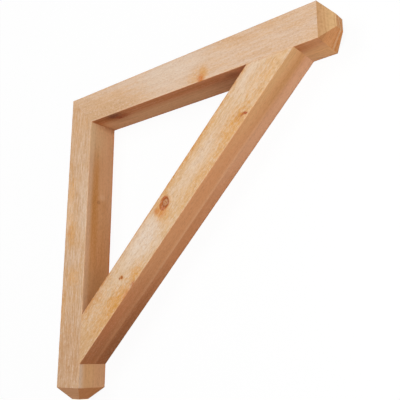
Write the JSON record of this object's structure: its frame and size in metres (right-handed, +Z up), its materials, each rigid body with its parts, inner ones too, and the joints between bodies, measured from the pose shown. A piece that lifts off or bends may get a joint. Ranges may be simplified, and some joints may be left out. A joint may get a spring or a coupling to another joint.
{
  "type": "timber bracket",
  "caption": "Triangular sawn-timber bracket: a wall post and a top beam mitred at the heel, both with bevelled tips, held square by a diagonal brace; it carries an eave or a shelf.",
  "frame": {"origin": "on the floor under the centre of the bracket's box, the bracket lying on its side", "axes": "+X out along the beam, away from the wall face; +Y along the post, towards the beam's top face; +Z up, across the timbers"},
  "size_m": [0.9652, 0.9652, 0.1016],
  "materials": {
    "sawn_timber": "rough-sawn, unfinished pale softwood with small knots"
  },
  "bodies": {
    "root": {"wall_post": "sawn_timber", "top_beam": "sawn_timber", "diagonal_brace": "sawn_timber"}
  },
  "joints": []
}
